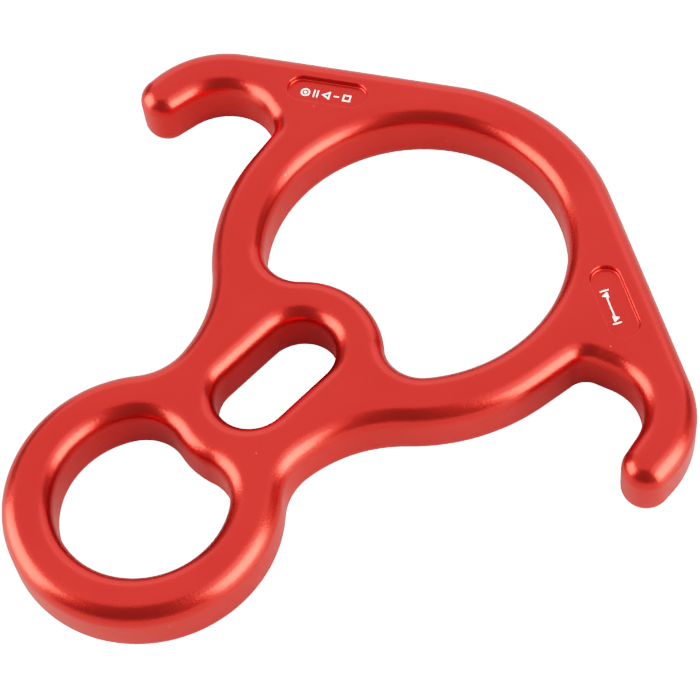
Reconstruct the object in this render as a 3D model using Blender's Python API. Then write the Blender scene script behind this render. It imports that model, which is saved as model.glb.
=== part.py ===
"""Rescue figure-eight rope descender with ears, one forged and machined aluminium piece.

Frame: metres, +Z up out of the marked face, +Y from the small ring to the big ring,
X across the two ears. The origin is under the middle of the bounding box, so the
descender lies flat on Z = 0.

Every outline is a smooth chain of arcs and straights, drawn like a belt that runs round a
row of pulleys: material corners pass on one side of the belt and hollows on the other.
Each half outline is drawn for X >= 0 and mirrored.
"""

import math

import bmesh
import bpy
from mathutils import Vector

# Driving dimensions. Outline places are measured from the big ring's centre.
THICKNESS = 0.0152
EDGE_RADIUS = 0.0045

BIG_HOLE_RADIUS = 0.0325
BIG_RING_RADIUS = 0.0439

RING_SPACING = 0.0806
SMALL_HOLE_RADIUS = 0.01805
SMALL_RING_RADIUS = 0.0287

SLOT_HALF_WIDTH = 0.00765
SLOT_UPPER_Y = -0.0354
SLOT_LOWER_Y = -0.0492
BOSS_RADIUS = 0.0179
BIG_HOLE_CORNER_RADIUS = 0.0085
SMALL_HOLE_CORNER_RADIUS = 0.0097

WAIST_Y = -0.0535
WAIST_RADIUS = 0.0124
FLANK_RADIUS = 0.0296

EAR_CENTRE = (0.05395, -0.0062)
EAR_OUTER_RADIUS = 0.0222
EAR_INNER_RADIUS = 0.01125
EAR_TIP_CENTRE = (0.07095, -0.0076)
EAR_TIP_RADIUS = 0.00525
NOTCH_CENTRE = (0.0485, -0.0002)
NOTCH_RADIUS = 0.0040

RECESS_CENTRE = (0.04195, 0.0161)
RECESS_HALF_LENGTH = 0.0058
RECESS_RADIUS = 0.00325
RECESS_DEPTH = 0.0012
SHOULDER_SLOPE = math.radians(30)

# The big ring's centre, with the whole length centred on Y = 0.
BIG_RING_Y = (RING_SPACING + SMALL_RING_RADIUS - BIG_RING_RADIUS) / 2

# Facets of the solid.
ARC_STEP = math.radians(7.5)
EDGE_RESOLUTION = 3
WELD_DISTANCE = 1e-6
SMOOTH_ANGLE = math.radians(40)

RED_ANODISED = (0.62, 0.025, 0.018, 1.0)
SATIN_ROUGHNESS = 0.32


def wrap(x, y, radius):
    """A pulley inside the belt, which turns left round it: a rounded corner of the outline."""
    return (x, y, radius, 1)


def dip(x, y, radius):
    """A pulley outside the belt, which turns right round it: a hollow of the outline."""
    return (x, y, radius, -1)


def belt(pulleys):
    """Points of a belt that starts along +X, runs past every pulley and ends along -X."""
    headings = [0.0]
    for (x0, y0, r0, turn0), (x1, y1, r1, turn1) in zip(pulleys, pulleys[1:]):
        offset = turn1 * r1 - turn0 * r0
        # Pulleys that touch leave no straight between them.
        straight = math.sqrt(max(0.0, (x1 - x0) ** 2 + (y1 - y0) ** 2 - offset ** 2))
        headings.append(math.atan2(y1 - y0, x1 - x0) - math.atan2(offset, straight))
    headings.append(math.pi)

    points = []
    for (x, y, radius, turn), start, end in zip(pulleys, headings, headings[1:]):
        sweep = ((end - start) * turn) % (2 * math.pi)
        steps = max(1, round(sweep / ARC_STEP))
        for step in range(steps + 1):
            heading = start + turn * sweep * step / steps
            points.append((x + turn * radius * math.sin(heading),
                           y - turn * radius * math.cos(heading)))
    return points


def mirrored(half):
    """The whole outline from its +X half, whose first and last points lie on X = 0."""
    other_half = [(-x, y) for x, y in reversed(half[1:-1])]
    return half + other_half


def centre_between(first, first_reach, second, second_reach):
    """The point at the given distances from two centres, on their +X side."""
    first, second = Vector(first), Vector(second)
    gap = (second - first).length
    along = (first_reach ** 2 - second_reach ** 2 + gap ** 2) / (2 * gap)
    across = math.sqrt(first_reach ** 2 - along ** 2)
    ahead = (second - first).normalized()
    aside = Vector((ahead.y, -ahead.x))
    if aside.x < 0:
        aside = -aside
    return first + along * ahead + across * aside


def corner_centre(hole_y, hole_radius, boss_y, corner_radius):
    """Centre of the round corner between a hole's wall and the boss that bulges into it."""
    return centre_between((0, hole_y), hole_radius - corner_radius,
                          (0, boss_y), BOSS_RADIUS + corner_radius)


def waist_centre():
    """Centre of the waist's hollow, which touches the small ring."""
    along = WAIST_Y + RING_SPACING
    across = math.sqrt((SMALL_RING_RADIUS + WAIST_RADIUS) ** 2 - along ** 2)
    return across, WAIST_Y


def flank_centre():
    """Centre of the wider hollow that carries the waist on to the big ring."""
    return centre_between(waist_centre(), FLANK_RADIUS - WAIST_RADIUS,
                          (0, 0), BIG_RING_RADIUS + FLANK_RADIUS)


def outer_outline():
    return mirrored(belt([
        wrap(0, -RING_SPACING, SMALL_RING_RADIUS),
        dip(*waist_centre(), WAIST_RADIUS),
        dip(*flank_centre(), FLANK_RADIUS),
        wrap(0, 0, BIG_RING_RADIUS),
        dip(*NOTCH_CENTRE, NOTCH_RADIUS),
        dip(*EAR_CENTRE, EAR_INNER_RADIUS),
        wrap(*EAR_TIP_CENTRE, EAR_TIP_RADIUS),
        wrap(*EAR_CENTRE, EAR_OUTER_RADIUS),
        wrap(0, 0, BIG_RING_RADIUS),
    ]))


def big_hole_outline():
    corner = corner_centre(0, BIG_HOLE_RADIUS, SLOT_UPPER_Y, BIG_HOLE_CORNER_RADIUS)
    return mirrored(belt([
        dip(0, SLOT_UPPER_Y, BOSS_RADIUS),
        wrap(*corner, BIG_HOLE_CORNER_RADIUS),
        wrap(0, 0, BIG_HOLE_RADIUS),
    ]))


def slot_outline():
    return mirrored(belt([
        wrap(0, SLOT_LOWER_Y, SLOT_HALF_WIDTH),
        wrap(0, SLOT_UPPER_Y, SLOT_HALF_WIDTH),
    ]))


def small_hole_outline():
    corner = corner_centre(-RING_SPACING, SMALL_HOLE_RADIUS, SLOT_LOWER_Y, SMALL_HOLE_CORNER_RADIUS)
    return mirrored(belt([
        wrap(0, -RING_SPACING, SMALL_HOLE_RADIUS),
        wrap(*corner, SMALL_HOLE_CORNER_RADIUS),
        dip(0, SLOT_LOWER_Y, BOSS_RADIUS),
    ]))


def recess_outline():
    """A stadium along X round its own centre."""
    first_end = [(RECESS_HALF_LENGTH + RECESS_RADIUS * math.cos(angle),
                  RECESS_RADIUS * math.sin(angle)) for angle in half_turn()]
    second_end = [(-x, -y) for x, y in first_end]
    return first_end + second_end


def half_turn():
    steps = round(math.pi / ARC_STEP)
    return [math.pi * step / steps - math.pi / 2 for step in range(steps + 1)]


def flat_curve(name, outlines, half_depth):
    """A filled 2D curve of the outlines, extruded both ways, with its object."""
    curve = bpy.data.curves.new(name, "CURVE")
    curve.dimensions = "2D"
    curve.fill_mode = "BOTH"
    curve.extrude = half_depth
    for outline in outlines:
        spline = curve.splines.new("POLY")
        spline.points.add(len(outline) - 1)
        for point, (x, y) in zip(spline.points, outline):
            point.co = (x, y, 0, 1)
        spline.use_cyclic_u = True
    return bpy.data.objects.new(name, curve)


def meshed(curve_object, collection):
    """Replace a curve object in the collection by its welded, closed mesh."""
    bpy.context.scene.collection.objects.link(curve_object)
    bpy.context.view_layer.update()
    graph = bpy.context.evaluated_depsgraph_get()
    mesh = bpy.data.meshes.new_from_object(curve_object.evaluated_get(graph))
    welded = bmesh.new()
    welded.from_mesh(mesh)
    bmesh.ops.remove_doubles(welded, verts=welded.verts, dist=WELD_DISTANCE)
    bmesh.ops.recalc_face_normals(welded, faces=welded.faces)
    welded.to_mesh(mesh)
    welded.free()
    name = curve_object.name
    place = curve_object.matrix_world.copy()
    bpy.data.objects.remove(curve_object)
    piece = bpy.data.objects.new(name, mesh)
    piece.matrix_world = place
    collection.objects.link(piece)
    return piece


def body(collection):
    """The whole descender, with its edges rounded all the way round by the curve's bevel."""
    outlines = [outer_outline(), big_hole_outline(), slot_outline(), small_hole_outline()]
    plate = flat_curve("descender_body", outlines, THICKNESS / 2 - EDGE_RADIUS)
    plate.data.bevel_depth = EDGE_RADIUS
    plate.data.bevel_resolution = EDGE_RESOLUTION
    plate.data.offset = -EDGE_RADIUS
    plate.location = (0, BIG_RING_Y, THICKNESS / 2)
    return meshed(plate, collection)


def recess_cutter(name, side, collection):
    """Cutter of one marking recess: its floor is RECESS_DEPTH below the top face."""
    cutter = flat_curve(name, [recess_outline()], RECESS_DEPTH)
    x, y = RECESS_CENTRE
    cutter.location = (side * x, BIG_RING_Y + y, THICKNESS)
    cutter.rotation_euler.z = -side * SHOULDER_SLOPE
    cutter = meshed(cutter, collection)
    cutter.hide_render = True
    cutter.display_type = "WIRE"
    return cutter


def cut(target, cutter):
    modifier = target.modifiers.new(cutter.name, "BOOLEAN")
    modifier.operation = "DIFFERENCE"
    modifier.solver = "EXACT"
    modifier.object = cutter


def anodised(name, colour):
    material = bpy.data.materials.new(name)
    material.use_nodes = True
    shader = material.node_tree.nodes["Principled BSDF"]
    shader.inputs["Base Color"].default_value = colour
    shader.inputs["Metallic"].default_value = 1.0
    shader.inputs["Roughness"].default_value = SATIN_ROUGHNESS
    return material


def new_collection(name):
    collection = bpy.data.collections.new(name)
    bpy.context.scene.collection.children.link(collection)
    return collection


def build():
    for leftover in list(bpy.data.objects):
        bpy.data.objects.remove(leftover)
    parts = new_collection("rope_descender")
    cutters = new_collection("cutters")

    descender = body(parts)
    cut(descender, recess_cutter("right_recess_cutter", 1, cutters))
    cut(descender, recess_cutter("left_recess_cutter", -1, cutters))
    descender.data.materials.append(anodised("red_anodised", RED_ANODISED))
    descender.data.shade_smooth()
    descender.data.set_sharp_from_angle(angle=SMOOTH_ANGLE)


build()
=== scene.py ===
"""Looks of the rope descender: one forged body in satin red anodising, lying on a pale floor."""

import math

import bmesh
import bpy
from mathutils import Matrix, Vector


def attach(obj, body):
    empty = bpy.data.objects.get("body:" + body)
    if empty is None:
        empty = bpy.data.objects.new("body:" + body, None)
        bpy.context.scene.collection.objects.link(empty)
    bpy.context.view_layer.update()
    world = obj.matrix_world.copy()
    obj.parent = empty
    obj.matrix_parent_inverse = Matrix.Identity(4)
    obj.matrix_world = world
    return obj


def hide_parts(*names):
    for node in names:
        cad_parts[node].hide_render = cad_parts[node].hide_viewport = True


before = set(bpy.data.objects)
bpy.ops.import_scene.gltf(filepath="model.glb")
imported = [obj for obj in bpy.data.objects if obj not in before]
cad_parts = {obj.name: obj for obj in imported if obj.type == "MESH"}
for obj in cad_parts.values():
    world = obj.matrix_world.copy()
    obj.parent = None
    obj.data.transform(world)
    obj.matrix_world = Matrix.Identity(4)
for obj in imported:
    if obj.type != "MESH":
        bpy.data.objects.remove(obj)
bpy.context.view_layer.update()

# Sizes of the descender in metres, as in part.py. Outline places are measured from the
# big ring's centre.
THICKNESS = 0.0152
EDGE_RADIUS = 0.0045

BIG_HOLE_RADIUS = 0.0325
BIG_RING_RADIUS = 0.0439

RING_SPACING = 0.0806
SMALL_HOLE_RADIUS = 0.01805
SMALL_RING_RADIUS = 0.0287

SLOT_HALF_WIDTH = 0.00765
SLOT_UPPER_Y = -0.0354
SLOT_LOWER_Y = -0.0492
BOSS_RADIUS = 0.0179
BIG_HOLE_CORNER_RADIUS = 0.0085
SMALL_HOLE_CORNER_RADIUS = 0.0097

WAIST_Y = -0.0535
WAIST_RADIUS = 0.0124
FLANK_RADIUS = 0.0296

EAR_CENTRE = (0.05395, -0.0062)
EAR_OUTER_RADIUS = 0.0222
EAR_INNER_RADIUS = 0.01125
EAR_TIP_CENTRE = (0.07095, -0.0076)
EAR_TIP_RADIUS = 0.00525
NOTCH_CENTRE = (0.0485, -0.0002)
NOTCH_RADIUS = 0.0040

RECESS_CENTRE = (0.04195, 0.0161)
RECESS_HALF_LENGTH = 0.0058
RECESS_RADIUS = 0.00325
RECESS_DEPTH = 0.0012
RECESS_LIP_RADIUS = 0.00035
RECESS_FLOOR_RADIUS = 0.0003
SHOULDER_SLOPE = math.radians(30)

MARK_STROKE = 0.00028
MARK_THICKNESS = 0.00004
MARK_HEIGHT = 0.0019
LEFT_MARK_SHIFT = (0.0, -0.0003)
RIGHT_MARK_SHIFT = (0.0004, -0.0010)

BIG_RING_Y = (RING_SPACING + SMALL_RING_RADIUS - BIG_RING_RADIUS) / 2

# How finely the surface is divided.
ARC_STEP = math.radians(2.5)
EDGE_STEPS = 14
LIP_STEPS = 4
FLAT_MARGIN = 0.00012
WELD_DISTANCE = 1e-6

# The finish: sizes in metres and colours.
GRAIN_SIZE = 0.00045
GRAIN_DEPTH = 0.00003
CLOUD_SIZE = 0.03
TOOL_LINE_SIZE = 0.0004
TOOL_LINE_DEPTH = 0.000006
SPECK_SPACING = 0.0055
SPECK_HEIGHT = 0.00002
DUST_RADIUS = 0.00014
PIT_RADIUS = 0.00016
WALL_EXTRA_ROUGHNESS = 0.2

DEEP_RED = (0.42, 0.0074, 0.0042, 1)
BRIGHT_RED = (0.46, 0.0098, 0.0058, 1)
GRAIN_RED = (0.35, 0.005, 0.0025, 1)
PIT_RED = (0.13, 0.003, 0.002, 1)
DUST_PINK = (0.68, 0.36, 0.32, 1)
EDGE_ON_RED = (0.80, 0.60, 0.60, 1)
LASER_GREY = (0.62, 0.52, 0.51, 1)
LASER_WHITE = (0.86, 0.83, 0.82, 1)

# The studio.
FLOOR_REACH = 3.0
FLOOR_GREY = (0.51, 0.51, 0.51, 1)
FLOOR_GLOW = 3.7
ROOM_LIGHT = (0.49, 0.49, 0.49, 1)
BACKDROP_WHITE = (4, 4, 4, 1)
WARM_LAMP = (1.0, 0.97, 0.82)
WHITE_LIMIT = 4
TONE_CURVE = ((0.3, 0.3), (0.6, 0.5), (1.0, 0.655), (2.0, 0.83), (3.0, 0.94))

CAMERA_TARGET = (0.00165, 0.00968, 0)
CAMERA_AZIMUTH = math.radians(51.35)
CAMERA_ELEVATION = math.radians(58.1)
CAMERA_ROLL = math.radians(-8.37)
CAMERA_DISTANCE = 0.4866
CAMERA_LENS = 116.75


def wrap(x, y, radius):
    """A pulley inside the belt: a rounded corner of the outline."""
    return (x, y, radius, 1)


def dip(x, y, radius):
    """A pulley outside the belt: a hollow of the outline."""
    return (x, y, radius, -1)


def belt_headings(pulleys):
    """Directions of the belt before, between and after the pulleys, from +X round to -X."""
    headings = [0.0]
    for (x0, y0, r0, turn0), (x1, y1, r1, turn1) in zip(pulleys, pulleys[1:]):
        offset = turn1 * r1 - turn0 * r0
        straight = math.sqrt(max(0.0, (x1 - x0) ** 2 + (y1 - y0) ** 2 - offset ** 2))
        headings.append(math.atan2(y1 - y0, x1 - x0) - math.atan2(offset, straight))
    headings.append(math.pi)
    return headings


def centre_between(first, first_reach, second, second_reach):
    """The point at the given distances from two centres, on their +X side."""
    first, second = Vector(first), Vector(second)
    gap = (second - first).length
    along = (first_reach ** 2 - second_reach ** 2 + gap ** 2) / (2 * gap)
    across = math.sqrt(first_reach ** 2 - along ** 2)
    ahead = (second - first).normalized()
    aside = Vector((ahead.y, -ahead.x))
    if aside.x < 0:
        aside = -aside
    return first + along * ahead + across * aside


def corner_centre(hole_y, hole_radius, boss_y, corner_radius):
    """Centre of the round corner between a hole's wall and the boss that bulges into it."""
    return centre_between((0, hole_y), hole_radius - corner_radius,
                          (0, boss_y), BOSS_RADIUS + corner_radius)


def waist_centre():
    """Centre of the waist's hollow, which touches the small ring."""
    along = WAIST_Y + RING_SPACING
    across = math.sqrt((SMALL_RING_RADIUS + WAIST_RADIUS) ** 2 - along ** 2)
    return across, WAIST_Y


def flank_centre():
    """Centre of the wider hollow that carries the waist on to the big ring."""
    return centre_between(waist_centre(), FLANK_RADIUS - WAIST_RADIUS,
                          (0, 0), BIG_RING_RADIUS + FLANK_RADIUS)


def outer_pulleys():
    return [
        wrap(0, -RING_SPACING, SMALL_RING_RADIUS),
        dip(*waist_centre(), WAIST_RADIUS),
        dip(*flank_centre(), FLANK_RADIUS),
        wrap(0, 0, BIG_RING_RADIUS),
        dip(*NOTCH_CENTRE, NOTCH_RADIUS),
        dip(*EAR_CENTRE, EAR_INNER_RADIUS),
        wrap(*EAR_TIP_CENTRE, EAR_TIP_RADIUS),
        wrap(*EAR_CENTRE, EAR_OUTER_RADIUS),
        wrap(0, 0, BIG_RING_RADIUS),
    ]


def big_hole_pulleys():
    corner = corner_centre(0, BIG_HOLE_RADIUS, SLOT_UPPER_Y, BIG_HOLE_CORNER_RADIUS)
    return [
        dip(0, SLOT_UPPER_Y, BOSS_RADIUS),
        wrap(*corner, BIG_HOLE_CORNER_RADIUS),
        wrap(0, 0, BIG_HOLE_RADIUS),
    ]


def slot_pulleys():
    return [
        wrap(0, SLOT_LOWER_Y, SLOT_HALF_WIDTH),
        wrap(0, SLOT_UPPER_Y, SLOT_HALF_WIDTH),
    ]


def small_hole_pulleys():
    corner = corner_centre(-RING_SPACING, SMALL_HOLE_RADIUS, SLOT_LOWER_Y, SMALL_HOLE_CORNER_RADIUS)
    return [
        wrap(0, -RING_SPACING, SMALL_HOLE_RADIUS),
        wrap(*corner, SMALL_HOLE_CORNER_RADIUS),
        dip(0, SLOT_LOWER_Y, BOSS_RADIUS),
    ]


def recess_pulleys():
    return [wrap(RECESS_HALF_LENGTH, 0, RECESS_RADIUS)]


def extruded_to(bm, vertex, place):
    """Draw a straight edge from the vertex to the place."""
    end = bmesh.ops.extrude_vert_indiv(bm, verts=[vertex])["verts"][0]
    end.co = place
    return end


def outline_loop(bm, pulleys, side, inset, height):
    """The closed loop of an outline's edges, moved into the material by the inset.

    The side is 1 for the outer outline and -1 for a hole's. Each arc is a vertex spun round
    its pulley. Every vertex remembers its own way out of the material.
    """
    outward = bm.verts.layers.float_vector["outward"]
    old_vertices = set(bm.verts)
    headings = belt_headings(pulleys)
    vertex = None
    for (x, y, radius, turn), start, end in zip(pulleys, headings, headings[1:]):
        centre = Vector((x, y, height))
        reach = turn * radius - side * inset
        first = centre + reach * Vector((math.sin(start), -math.cos(start), 0))
        if vertex is None:
            vertex = bmesh.ops.create_vert(bm, co=(0, first.y, height))["vert"][0]
            vertex[outward] = Vector((0, -side, 0))
        if (first - vertex.co).length > WELD_DISTANCE:
            vertex = extruded_to(bm, vertex, first)
        sweep = ((end - start) * turn) % (2 * math.pi)
        before = set(bm.verts)
        spun = bmesh.ops.spin(bm, geom=[vertex], cent=centre, axis=(0, 0, 1), dvec=(0, 0, 0),
                              angle=turn * sweep, steps=max(1, round(sweep / ARC_STEP)),
                              use_duplicate=False)
        for arc_vertex in [vertex] + [v for v in bm.verts if v not in before]:
            arc_vertex[outward] = side * turn * (arc_vertex.co - centre).normalized()
        vertex = next(v for v in spun["geom_last"] if isinstance(v, bmesh.types.BMVert))
    if vertex.co.x > WELD_DISTANCE:
        vertex = extruded_to(bm, vertex, (0, vertex.co.y, height))
        vertex[outward] = Vector((0, side, 0))

    half = [v for v in bm.verts if v not in old_vertices]
    edges = list({edge for v in half for edge in v.link_edges})
    bmesh.ops.mirror(bm, geom=half + edges, axis="X", merge_dist=WELD_DISTANCE)
    loop = [v for v in bm.verts if v not in old_vertices]
    for v in loop:
        if v.co.x < -WELD_DISTANCE:
            v[outward].x = -v[outward].x
    return list({edge for v in loop for edge in v.link_edges})


def extruded_edges(bm, edges, out, up):
    """Extrude loops by the given steps out of the material and up. Returns the new loops."""
    outward = bm.verts.layers.float_vector["outward"]
    new = bmesh.ops.extrude_edge_only(bm, edges=edges)["geom"]
    for vertex in (v for v in new if isinstance(v, bmesh.types.BMVert)):
        vertex.co += out * vertex[outward] + Vector((0, 0, up))
    return [edge for edge in new if isinstance(edge, bmesh.types.BMEdge)]


def quarter_round(radius, steps):
    """Steps (out, up) down a rounded edge, from level to upright."""
    angles = [math.pi / 2 * step / steps for step in range(steps + 1)]
    return [(radius * (math.sin(b) - math.sin(a)), radius * (math.cos(b) - math.cos(a)))
            for a, b in zip(angles, angles[1:])]


def upside_down(profile):
    """The same steps in the opposite order, mirrored top to bottom."""
    return [(-out, up) for out, up in reversed(profile)]


def edge_profile():
    """Steps (out, up) from the top face's margin round the side to the bottom face's margin."""
    top = [(FLAT_MARGIN, 0)] + quarter_round(EDGE_RADIUS, EDGE_STEPS)
    wall = [(0, 2 * EDGE_RADIUS - THICKNESS)]
    return top + wall + upside_down(top)


def recess_profile():
    """Steps (out, up) from the top face's margin into the recess and on to its floor's margin."""
    lip = [(FLAT_MARGIN, 0)] + quarter_round(RECESS_LIP_RADIUS, LIP_STEPS)
    wall = [(0, RECESS_LIP_RADIUS + RECESS_FLOOR_RADIUS - RECESS_DEPTH)]
    foot = [(-up, -out) for out, up in quarter_round(RECESS_FLOOR_RADIUS, LIP_STEPS)]
    return lip + wall + foot + [(FLAT_MARGIN, 0)]


def swept(bm, edges, profile):
    for out, up in profile:
        edges = extruded_edges(bm, edges, out, up)
    return edges


def recess_loop(bm, side):
    """The margin round one recess on the top face."""
    outward = bm.verts.layers.float_vector["outward"]
    inset = RECESS_LIP_RADIUS + FLAT_MARGIN
    edges = outline_loop(bm, recess_pulleys(), -1, inset, 0)
    place = recess_place(side)
    vertices = list({v for edge in edges for v in edge.verts})
    bmesh.ops.transform(bm, matrix=place, verts=vertices)
    for v in vertices:
        v[outward] = place.to_3x3() @ v[outward]
    return edges


def descender_mesh():
    bm = bmesh.new()
    bm.verts.layers.float_vector.new("outward")
    inset = EDGE_RADIUS + FLAT_MARGIN
    rims = outline_loop(bm, outer_pulleys(), 1, inset, THICKNESS)
    for pulleys in (big_hole_pulleys(), slot_pulleys(), small_hole_pulleys()):
        rims += outline_loop(bm, pulleys, -1, inset, THICKNESS)
    recesses = recess_loop(bm, 1) + recess_loop(bm, -1)
    bmesh.ops.triangle_fill(bm, edges=rims + recesses, use_beauty=True, normal=(0, 0, 1))

    bottom = swept(bm, rims, edge_profile())
    bmesh.ops.triangle_fill(bm, edges=bottom, use_beauty=True, normal=(0, 0, -1))
    floors = swept(bm, recesses, recess_profile())
    bmesh.ops.triangle_fill(bm, edges=floors, use_beauty=True, normal=(0, 0, 1))

    bmesh.ops.translate(bm, vec=(0, BIG_RING_Y, 0), verts=bm.verts)
    bmesh.ops.recalc_face_normals(bm, faces=bm.faces)
    for face in bm.faces:
        face.smooth = True
    bm.verts.layers.float_vector.remove(bm.verts.layers.float_vector["outward"])
    mesh = bpy.data.meshes.new("descender")
    bm.to_mesh(mesh)
    bm.free()
    return mesh


def mark_ring(bm, x, radius, corners, turn=0.0):
    """A ring or a hollow triangle or square of one stroke's width."""
    place = Matrix.Translation((x, 0, 0)) @ Matrix.Rotation(turn, 4, "Z")
    corner_verts = bmesh.ops.create_circle(bm, cap_ends=True, radius=radius, segments=corners,
                                           matrix=place)["verts"]
    middle = corner_verts[0].link_faces[0]
    bmesh.ops.inset_region(bm, faces=[middle], thickness=MARK_STROKE,
                           use_boundary=True, use_even_offset=True)
    bmesh.ops.delete(bm, geom=[middle], context="FACES_ONLY")


def mark_dot(bm, x, radius, corners, turn=0.0):
    """A filled disc, or a filled triangle with 3 corners."""
    place = Matrix.Translation((x, 0, 0)) @ Matrix.Rotation(turn, 4, "Z")
    bmesh.ops.create_circle(bm, cap_ends=True, radius=radius, segments=corners, matrix=place)


def mark_bar(bm, x, length, turn=0.0):
    """A straight stroke."""
    place = (Matrix.Translation((x, 0, 0)) @ Matrix.Rotation(turn, 4, "Z")
             @ Matrix.Diagonal((length, MARK_STROKE, 1, 1)))
    bmesh.ops.create_grid(bm, x_segments=1, y_segments=1, size=0.5, matrix=place)


def left_marks(bm):
    """Inspection symbols: a ringed dot, two strokes, a triangle, a stroke and a square."""
    upright = math.radians(90)
    mark_ring(bm, -0.0050, 0.00105, 32)
    mark_dot(bm, -0.0050, 0.00035, 16)
    mark_bar(bm, -0.0030, MARK_HEIGHT, upright)
    mark_bar(bm, -0.0022, MARK_HEIGHT, upright)
    mark_ring(bm, 0.0, 0.00125, 3, upright)
    mark_bar(bm, 0.0021, 0.0012)
    mark_ring(bm, 0.0045, 0.00125, 4, upright / 2)


def right_marks(bm):
    """A load symbol: an arrow at each end of a stroke, between two stops."""
    upright = math.radians(90)
    mark_bar(bm, -0.0042, MARK_HEIGHT, upright)
    mark_dot(bm, -0.0030, 0.0009, 3, math.pi)
    mark_bar(bm, 0.0, 0.0048)
    mark_dot(bm, 0.0030, 0.0009, 3)
    mark_bar(bm, 0.0042, MARK_HEIGHT, upright)


def recess_place(side):
    """Place and turn of one recess, from the big ring's centre at the top face's height."""
    x, y = RECESS_CENTRE
    return (Matrix.Translation((side * x, y, THICKNESS))
            @ Matrix.Rotation(-side * SHOULDER_SLOPE, 4, "Z"))


def marks_mesh():
    bm = bmesh.new()
    for side, draw, shift in ((-1, left_marks, LEFT_MARK_SHIFT), (1, right_marks, RIGHT_MARK_SHIFT)):
        old = set(bm.verts)
        draw(bm)
        new = [v for v in bm.verts if v not in old]
        sunk = Matrix.Translation((*shift, -RECESS_DEPTH - MARK_THICKNESS / 2))
        centred = Matrix.Translation((0, BIG_RING_Y, 0)) @ recess_place(side) @ sunk
        bmesh.ops.transform(bm, matrix=centred, verts=new)
    raised = bmesh.ops.extrude_face_region(bm, geom=list(bm.faces), use_keep_orig=True)["geom"]
    bmesh.ops.translate(bm, vec=(0, 0, MARK_THICKNESS),
                        verts=[v for v in raised if isinstance(v, bmesh.types.BMVert)])
    bmesh.ops.recalc_face_normals(bm, faces=bm.faces)
    mesh = bpy.data.meshes.new("laser_marks")
    bm.to_mesh(mesh)
    bm.free()
    return mesh


def plain_material(name):
    """A new material, its shader and the piece's own coordinates."""
    material = bpy.data.materials.new(name)
    material.use_nodes = True
    nodes = material.node_tree.nodes
    place = nodes.new("ShaderNodeTexCoord").outputs["Object"]
    return material, nodes["Principled BSDF"], place


def linked(socket, value):
    """Set an input to a number or a colour, or link it to another node's output."""
    if isinstance(value, bpy.types.NodeSocket):
        value.id_data.links.new(value, socket)
    else:
        socket.default_value = value


def noise(place, size, detail=2.0, roughness=0.5):
    """Soft cloudy values round 0.5, with spots of about the given size in metres."""
    texture = place.id_data.nodes.new("ShaderNodeTexNoise")
    texture.inputs["Scale"].default_value = 1 / size
    texture.inputs["Detail"].default_value = detail
    texture.inputs["Roughness"].default_value = roughness
    linked(texture.inputs["Vector"], place)
    return texture.outputs["Fac"]


def stretched(place, scale):
    """Coordinates scaled along each axis, which draws a pattern out where the scale is small."""
    mapping = place.id_data.nodes.new("ShaderNodeMapping")
    mapping.vector_type = "POINT"
    mapping.inputs["Scale"].default_value = scale
    linked(mapping.inputs["Vector"], place)
    return mapping.outputs["Vector"]


def ranged(value, low, high, to_low, to_high):
    """Carry a value from one range to another, held at the ends."""
    scale = value.id_data.nodes.new("ShaderNodeMapRange")
    for name, number in (("From Min", low), ("From Max", high),
                         ("To Min", to_low), ("To Max", to_high)):
        scale.inputs[name].default_value = number
    linked(scale.inputs["Value"], value)
    return scale.outputs["Result"]


def combined(operation, first, second):
    """The result of a sum, a product or another operation on two values."""
    maths = first.id_data.nodes.new("ShaderNodeMath")
    maths.operation = operation
    linked(maths.inputs[0], first)
    linked(maths.inputs[1], second)
    return maths.outputs["Value"]


def mixed(factor, first, second):
    """A colour between two colours."""
    mix = factor.id_data.nodes.new("ShaderNodeMix")
    mix.data_type = "RGBA"
    linked(mix.inputs["Factor"], factor)
    for name, colour in (("A", first), ("B", second)):
        linked(next(i for i in mix.inputs if i.name == name and i.type == "RGBA"), colour)
    return next(o for o in mix.outputs if o.type == "RGBA")


def specks(place, spacing, radius, shift):
    """Round specks about the given distance apart, 1 inside and 0 outside."""
    nodes = place.id_data.nodes
    shifted = nodes.new("ShaderNodeVectorMath")
    linked(shifted.inputs[0], place)
    shifted.inputs[1].default_value = (shift, shift, shift)
    cells = nodes.new("ShaderNodeTexVoronoi")
    cells.inputs["Scale"].default_value = 1 / spacing
    linked(cells.inputs["Vector"], shifted.outputs["Vector"])
    edge = radius / spacing
    return ranged(cells.outputs["Distance"], 0.6 * edge, edge, 1, 0)


def bumped(height, depth, normal=None):
    """A surface raised by the height, from 0 to 1, times the depth in metres."""
    bump = height.id_data.nodes.new("ShaderNodeBump")
    bump.inputs["Distance"].default_value = depth
    linked(bump.inputs["Height"], height)
    if normal is not None:
        linked(bump.inputs["Normal"], normal)
    return bump.outputs["Normal"]


def upright_share(place):
    """1 on upright walls and 0 on level faces."""
    nodes = place.id_data.nodes
    split = nodes.new("ShaderNodeSeparateXYZ")
    linked(split.inputs["Vector"], nodes.new("ShaderNodeNewGeometry").outputs["Normal"])
    return ranged(combined("ABSOLUTE", split.outputs["Z"], 0), 0.1, 0.4, 1, 0)


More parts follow.
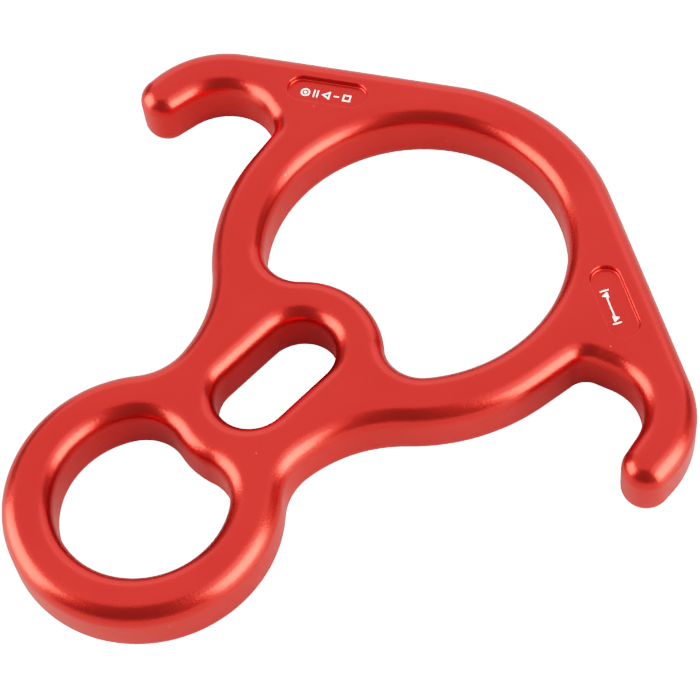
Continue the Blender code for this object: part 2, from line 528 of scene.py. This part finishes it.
def red_anodising():
    """Clear oxide dyed red over blasted aluminium: satin, with a fine grain and a few specks."""
    material, shader, place = plain_material("red_anodising")
    grain = noise(place, GRAIN_SIZE, detail=3, roughness=0.6)
    clouds = noise(place, CLOUD_SIZE)
    dust = specks(place, SPECK_SPACING, DUST_RADIUS, 0.5)
    pits = specks(place, SPECK_SPACING, PIT_RADIUS, 0.1)
    lines = noise(stretched(place, (0.02, 0.02, 1)), TOOL_LINE_SIZE, detail=1)
    wall = upright_share(place)

    red = mixed(ranged(clouds, 0.35, 0.65, 0, 1), DEEP_RED, BRIGHT_RED)
    red = mixed(ranged(grain, 0.3, 0.7, 0, 0.25), red, GRAIN_RED)
    red = mixed(combined("MULTIPLY", pits, 0.6), red, PIT_RED)
    red = mixed(combined("MULTIPLY", dust, 0.5), red, DUST_PINK)
    linked(shader.inputs["Base Color"], red)

    satin = ranged(combined("ADD", clouds, combined("MULTIPLY", grain, 0.5)), 0.5, 1.0, 0.21, 0.29)
    duller_wall = combined("MULTIPLY", wall, WALL_EXTRA_ROUGHNESS)
    linked(shader.inputs["Roughness"], combined("ADD", satin, duller_wall))
    shader.inputs["Metallic"].default_value = 1
    shader.inputs["Specular Tint"].default_value = EDGE_ON_RED
    shader.inputs["Coat Weight"].default_value = 0.16
    shader.inputs["Coat Roughness"].default_value = 0.24
    shader.inputs["Coat IOR"].default_value = 1.6

    blasted = bumped(combined("MULTIPLY", grain, ranged(wall, 0, 1, 1, 0.2)), GRAIN_DEPTH)
    tooled = bumped(combined("MULTIPLY", lines, wall), TOOL_LINE_DEPTH, blasted)
    pitted = bumped(combined("SUBTRACT", dust, pits), SPECK_HEIGHT, tooled)
    linked(shader.inputs["Normal"], pitted)
    linked(shader.inputs["Coat Normal"], pitted)
    return material


def laser_white():
    """Bleached oxide where the laser has passed: a dull, slightly uneven white."""
    material, shader, place = plain_material("laser_white")
    spots = noise(place, MARK_STROKE, detail=1)
    white = mixed(ranged(spots, 0.3, 0.7, 0, 1), LASER_GREY, LASER_WHITE)
    linked(shader.inputs["Base Color"], white)
    shader.inputs["Roughness"].default_value = 0.6
    linked(shader.inputs["Normal"], bumped(spots, GRAIN_DEPTH))
    return material


def on_body(name, mesh, material):
    """A piece of the descender, made of one material."""
    piece = bpy.data.objects.new(name, mesh)
    bpy.context.scene.collection.objects.link(piece)
    mesh.materials.append(material)
    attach(piece, "root")
    return piece


def make_descender():
    body = on_body("descender", descender_mesh(), red_anodising())
    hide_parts("descender_body")
    on_body("laser_marks", marks_mesh(), laser_white())


def camera_share(tree):
    """1 for what the camera sees itself and 0 for reflections and light."""
    return tree.nodes.new("ShaderNodeLightPath").outputs["Is Camera Ray"]


def make_floor():
    """A pale table top, which glows plain white where the camera sees it."""
    bm = bmesh.new()
    bmesh.ops.create_grid(bm, x_segments=1, y_segments=1, size=FLOOR_REACH)
    mesh = bpy.data.meshes.new("floor")
    bm.to_mesh(mesh)
    bm.free()
    floor = bpy.data.objects.new("floor", mesh)
    bpy.context.scene.collection.objects.link(floor)
    material = bpy.data.materials.new("pale_floor")
    material.use_nodes = True
    shader = material.node_tree.nodes["Principled BSDF"]
    shader.inputs["Base Color"].default_value = FLOOR_GREY
    shader.inputs["Roughness"].default_value = 0.4
    shader.inputs["Emission Color"].default_value = (1, 1, 1, 1)
    glow = ranged(camera_share(material.node_tree), 0, 1, 0, FLOOR_GLOW)
    linked(shader.inputs["Emission Strength"], glow)
    mesh.materials.append(material)


def from_above(azimuth, elevation):
    """The direction at an azimuth counted from -Y towards +X and an elevation, in degrees."""
    a, e = math.radians(azimuth), math.radians(elevation)
    return Vector((math.sin(a) * math.cos(e), -math.cos(a) * math.cos(e), math.sin(e)))


def softbox(name, azimuth, elevation, distance, width, height, brightness, colour=(1, 1, 1)):
    """A rectangular lamp that faces the descender.

    Angles are in degrees, and the brightness is given as radiance.
    """
    light = bpy.data.lights.new(name, "AREA")
    light.shape = "RECTANGLE"
    light.size = width
    light.size_y = height
    light.energy = brightness * math.pi * width * height
    light.color = colour
    lamp = bpy.data.objects.new(name, light)
    bpy.context.scene.collection.objects.link(lamp)
    direction = from_above(azimuth, elevation)
    lamp.location = direction * distance
    lamp.rotation_mode = "QUATERNION"
    lamp.rotation_quaternion = direction.to_track_quat("Z", "Y")


def make_lights():
    """Two warm softboxes at the sides, and dimmer white panels above and behind."""
    softbox("left_softbox", -44, 22, 0.8, 0.62, 0.62, 22, WARM_LAMP)
    softbox("right_softbox", 109, 20, 0.8, 0.64, 0.62, 27.5, WARM_LAMP)
    softbox("right_glow", 110, 52, 0.8, 0.60, 0.35, 3.8)
    softbox("overhead_panel", -140, 68, 1.0, 2.4, 1.7, 1.78)
    softbox("back_panel", -146, 18, 1.2, 2.0, 0.80, 2.45)


def make_world():
    """A dim studio round the lights, with a pale backdrop behind the descender."""
    world = bpy.data.worlds.new("studio")
    world.use_nodes = True
    background = world.node_tree.nodes["Background"]
    shade = mixed(camera_share(world.node_tree), ROOM_LIGHT, BACKDROP_WHITE)
    linked(background.inputs["Color"], shade)
    bpy.context.scene.world = world


def set_tone():
    """Plain colours with a soft shoulder, so that bright reds keep their shade."""
    view = bpy.context.scene.view_settings
    view.view_transform = "Standard"
    view.use_curve_mapping = True
    view.curve_mapping.clip_max_x = WHITE_LIMIT
    tone = view.curve_mapping.curves[3].points
    tone[1].location = (WHITE_LIMIT, 1)
    for place in TONE_CURVE:
        tone.new(*place)
    view.curve_mapping.update()


def make_camera():
    """A camera above the small ring's right side, rolled a little."""
    data = bpy.data.cameras.new("camera")
    data.sensor_width = 36
    data.lens = CAMERA_LENS
    camera = bpy.data.objects.new("camera", data)
    bpy.context.scene.collection.objects.link(camera)
    back = Vector((math.sin(CAMERA_AZIMUTH) * math.cos(CAMERA_ELEVATION),
                   -math.cos(CAMERA_AZIMUTH) * math.cos(CAMERA_ELEVATION),
                   math.sin(CAMERA_ELEVATION)))
    camera.location = Vector(CAMERA_TARGET) + back * CAMERA_DISTANCE
    camera.rotation_mode = "QUATERNION"
    level = (-back).to_track_quat("-Z", "Y")
    camera.rotation_quaternion = level @ Matrix.Rotation(CAMERA_ROLL, 3, "Z").to_quaternion()
    bpy.context.scene.camera = camera


set_tone()
make_descender()
make_floor()
make_lights()
make_world()
make_camera()
